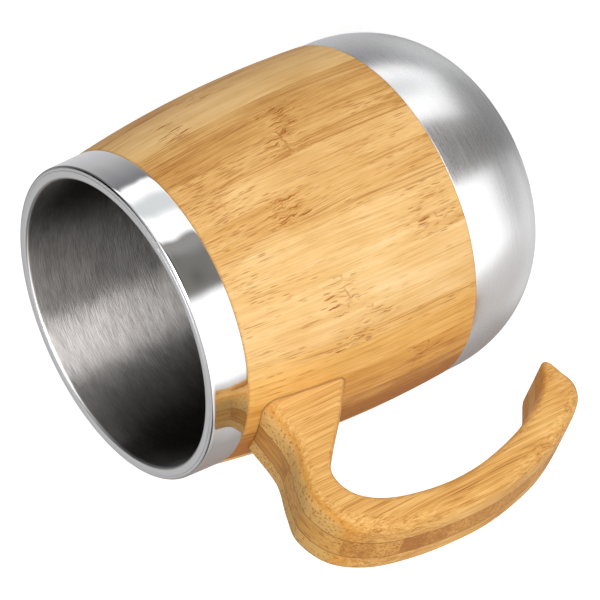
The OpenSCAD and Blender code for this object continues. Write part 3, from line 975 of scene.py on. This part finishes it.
# What metal reflects round the axis outside the panels. Places run once round, with the camera's side at
# 0.5. side lies at the horizon and below it, rim and high above it, and under far below.
rings = {
    "side": [
        (0.00, (0.47, 0.45, 0.44)), (0.05, (0.33, 0.27, 0.24)), (0.15, (0.38, 0.35, 0.33)),
        (0.21, (0.60, 0.58, 0.565)), (0.30, (0.64, 0.62, 0.61)), (0.52, 0.25),
        (0.76, (0.22, 0.22, 0.23)), (0.84, 0.47), (0.92, (0.60, 0.60, 0.62)), (1.00, (0.66, 0.66, 0.67)),
    ],
    "high": [
        (0.00, 0.18), (0.06, 0.14), (0.10, 0.0), (0.19, 0.0), (0.23, 0.10), (0.27, (0.25, 0.245, 0.24)),
        (0.43, (0.32, 0.315, 0.31)), (0.445, (1.0, 0.99, 0.98)), (0.555, (1.0, 0.99, 0.98)),
        (0.575, (0.42, 0.415, 0.41)), (0.59, (0.32, 0.315, 0.31)), (0.62, (0.15, 0.147, 0.145)),
        (0.68, (0.07, 0.069, 0.068)), (0.73, 0.04), (0.76, 0.0), (0.90, 0.0), (0.94, 0.14), (1.00, 0.18),
    ],
    "rim": [
        (0.00, 0.10), (0.08, 0.06), (0.16, 0.01), (0.22, 0.03), (0.27, (0.20, 0.195, 0.19)),
        (0.43, (0.28, 0.275, 0.27)), (0.45, (1.0, 0.98, 0.97)), (0.555, (1.0, 0.98, 0.97)), (0.58, 0.3),
        (0.62, (0.15, 0.147, 0.145)), (0.70, 0.05), (0.76, 0.0), (0.86, 0.0), (0.94, 0.05), (1.00, 0.10),
    ],
    "under": [
        (0.00, 0.30), (0.12, 0.95), (0.20, 0.75), (0.30, 0.42), (0.46, 0.3), (0.55, 0.19), (0.75, 0.26),
        (0.90, 0.26), (1.00, 0.30),
    ],
}


# World: the camera sees white, matte faces get an even grey, and metal gets the rings by azimuth, with
# the panels laid over them by azimuth and height
def makeWorld(s):
    world = bpy.data.worlds.new("studio")
    bpy.context.scene.world = world
    world.use_nodes = True
    tree = world.node_tree
    tree.nodes.clear()
    w = Wire(tree)
    x, y, z = w.coordinates("Generated")
    turn = radians(s["cameraAzimuth"])
    along = x * cos(turn) + y * sin(turn)
    aside = y * cos(turn) - x * sin(turn)
    azimuth = aside.math("ARCTAN2", aside, along) * (180 / pi)
    height = z.math("ARCSINE", z) * (180 / pi)
    ring = {key: w.node("ValToRGB", {"stops": stops}, {0: azimuth / 360 + 0.5})
            for key, stops in rings.items()}
    seen = ring["side"]
    for p in panels:
        soft, edge = p["soft"], s["panelEdge"]
        sides = azimuth.rise(p["from"] - soft, p["from"] + soft)
        sides = sides * azimuth.rise(p["to"] + soft, p["to"] - soft)
        ends = height.rise(p["low"] - edge, p["low"] + edge)
        ends = ends * height.rise(p["high"] + edge, p["high"] - edge)
        seen = w.blend(sides * ends, seen, colour(*[c * p["level"] for c in p["tint"]]))
    mouth = w.blend(height.rise(s["highFrom"], s["highTo"]), ring["rim"], ring["high"])
    mouth = w.scaled(mouth, s["mouthLevel"])
    seen = w.blend(height.rise(s["mouthFrom"], s["mouthTo"]), seen, mouth)
    seen = w.blend(height.rise(s["underFrom"], s["underTo"]), seen, ring["under"])
    # Light that has crossed the cup's inside several times is dimmed further
    seen = w.scaled(seen, w.ray("Glossy Depth").ramp(1.0, 2.0, 1.0, s["bounceDim"]))
    plain = w.blend(w.ray("Is Camera Ray"), grey(s["fillLevel"]), grey(1))
    total = w.blend(w.ray("Is Glossy Ray"), plain, seen)
    background = w.node("Background", {}, {0: total, 1: 1.0})
    link(background, tree.nodes.new("ShaderNodeOutputWorld"), "Surface")


makeWorld(studio)

# Lamps: degrees round the axis from the camera's side, degrees above the horizon, distance, size, watts
lamps = {
    "key": {"azimuth": -20, "height": 20, "distance": 1.4, "size": 0.9, "power": 11.6},
    "top": {"azimuth": 46, "height": 10, "distance": 1.4, "size": 0.9, "power": 5.8},
    "handle": {"azimuth": -100, "height": 38, "distance": 1.4, "size": 0.9, "power": 5.0},
}


# A disk lamp on a sphere about its aim, turned to face the aim, that metal doesn't mirror
def makeLamp(name, s):
    a = radians(studio["cameraAzimuth"] + s["azimuth"])
    h = radians(s["height"])
    back = Vector((cos(a) * cos(h), sin(a) * cos(h), sin(h)))
    data = bpy.data.lights.new(name, "AREA")
    data.shape = "DISK"
    data.size = s["size"]
    data.energy = s["power"]
    lamp = bpy.data.objects.new(name, data)
    lamp.location = Vector(studio["lampAim"]) + back * s["distance"]
    lamp.rotation_mode = "QUATERNION"
    lamp.rotation_quaternion = (-back).to_track_quat("-Z", "Y")
    lamp.visible_glossy = False
    bpy.context.scene.collection.objects.link(lamp)


for name, values in lamps.items():
    makeLamp(name, values)

view = {
    "place": (0.304831, 0.59332, 0.434074), "aim": (0.011806, -0.005775, 0.058051), "roll": 114.595,
    "lens": 186.697, "sensor": 36.0, "nearest": 0.05, "farthest": 20.0,
}


# The camera looks from its place at its aim and is rolled about that line
def makeCamera(s):
    data = bpy.data.cameras.new("camera")
    data.lens = s["lens"]
    data.sensor_width = s["sensor"]
    data.clip_start = s["nearest"]
    data.clip_end = s["farthest"]
    camera = bpy.data.objects.new("camera", data)
    place, aim = Vector(s["place"]), Vector(s["aim"])
    level = (aim - place).to_track_quat("-Z", "Y").to_matrix().to_4x4()
    roll = Matrix.Rotation(-radians(s["roll"]), 4, "Z")
    camera.matrix_world = Matrix.Translation(place) @ level @ roll
    bpy.context.scene.collection.objects.link(camera)
    bpy.context.scene.camera = camera


makeCamera(view)
bpy.context.scene.view_settings.view_transform = "Standard"
print("studio made")
